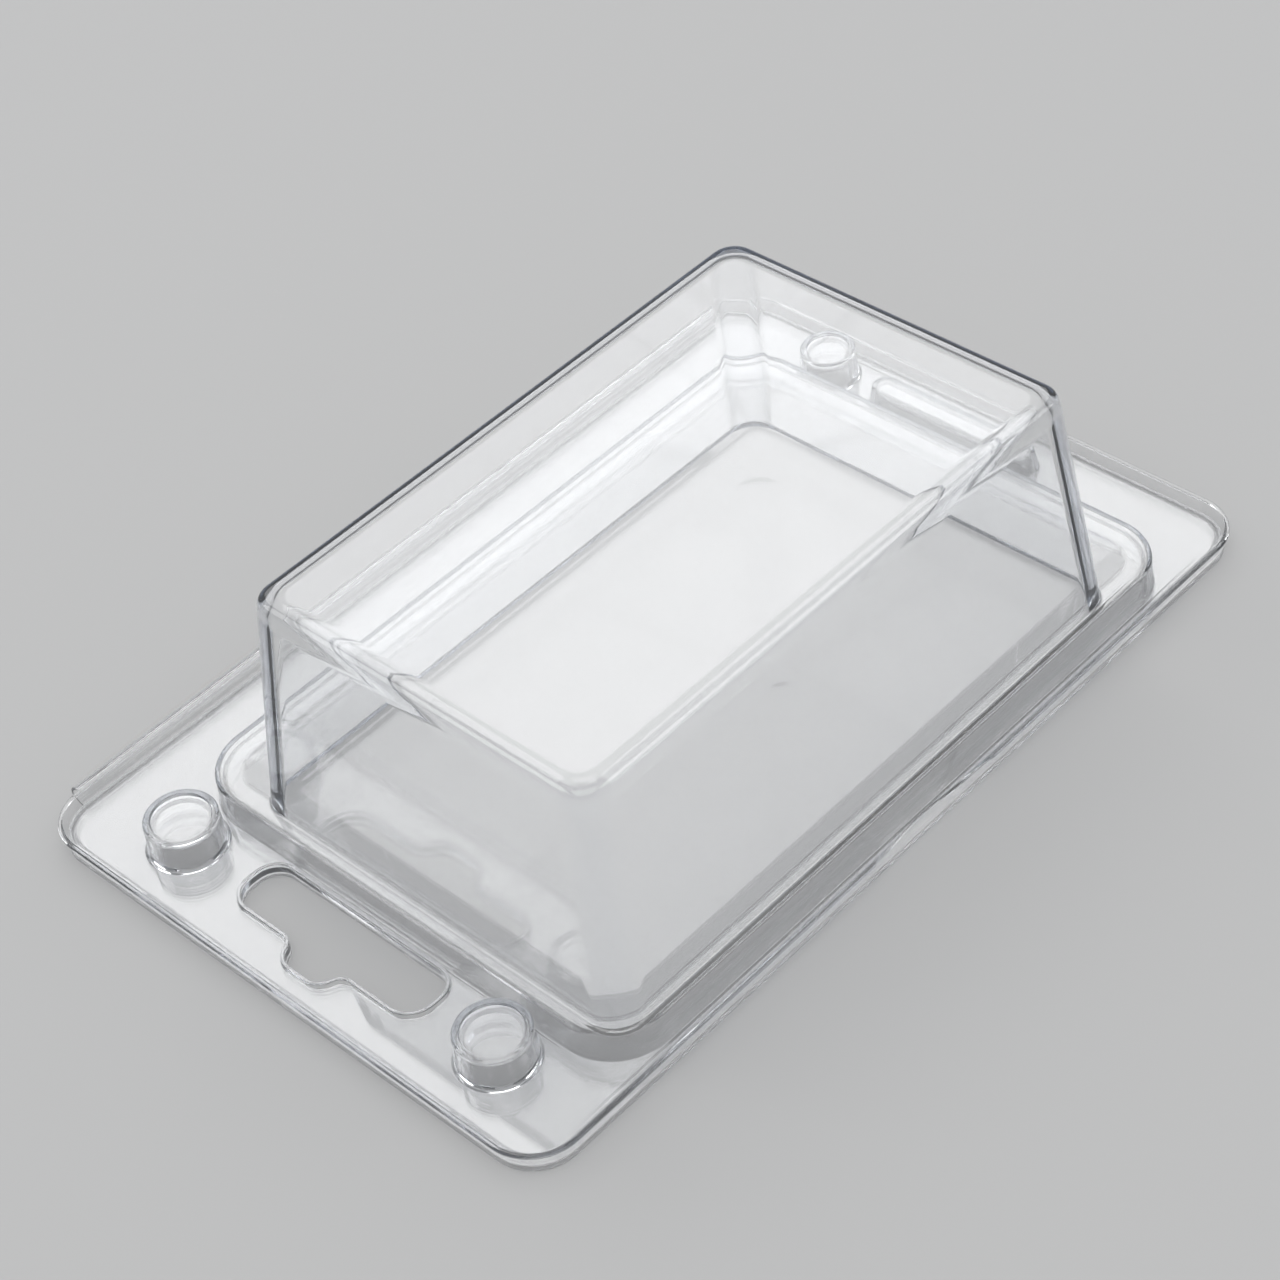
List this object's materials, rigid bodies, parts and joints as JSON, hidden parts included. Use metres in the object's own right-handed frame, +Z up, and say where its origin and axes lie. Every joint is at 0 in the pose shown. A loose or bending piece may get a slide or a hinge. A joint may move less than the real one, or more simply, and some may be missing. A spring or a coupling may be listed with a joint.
{
  "type": "clamshell packaging box",
  "caption": "Clear hinged clamshell box with a deep drafted bubble on a raised platform, flared rim, snap caps, hang slot and thumb notch.",
  "frame": {"origin": "middle of the closed box's outline, on the surface that its flat back lies on", "axes": "+X along the length from the hang end to the far end, +Y across from the thumb notch to the hinge, +Z up through the bubble"},
  "size_m": [0.134, 0.0898, 0.0394],
  "materials": {
    "clear_base": "clear formed sheet, glossy",
    "clear_lid": "clear formed sheet, glossy",
    "clear_spine": "clear formed sheet, glossy, creased along both edges"
  },
  "bodies": {
    "base": {"base_shell": "clear_base"},
    "spine": {"hinge_spine": "clear_spine"},
    "lid": {"lid_shell": "clear_lid"}
  },
  "joints": [
    {"name": "spine_fold", "type": "hinge", "parent": "base", "child": "spine", "pos_m": [0, 0.04271, 0.00025], "axis": [-1, 0, 0], "range_deg": [0, 62]},
    {"name": "lid_fold", "type": "hinge", "parent": "spine", "child": "lid", "pos_m": [0, 0.04331, 0.00305], "axis": [-1, 0, 0], "range_deg": [0, 62]}
  ],
  "couplings": [
    {"joint": "lid_fold", "follows": "spine_fold", "ratio": 1}
  ]
}
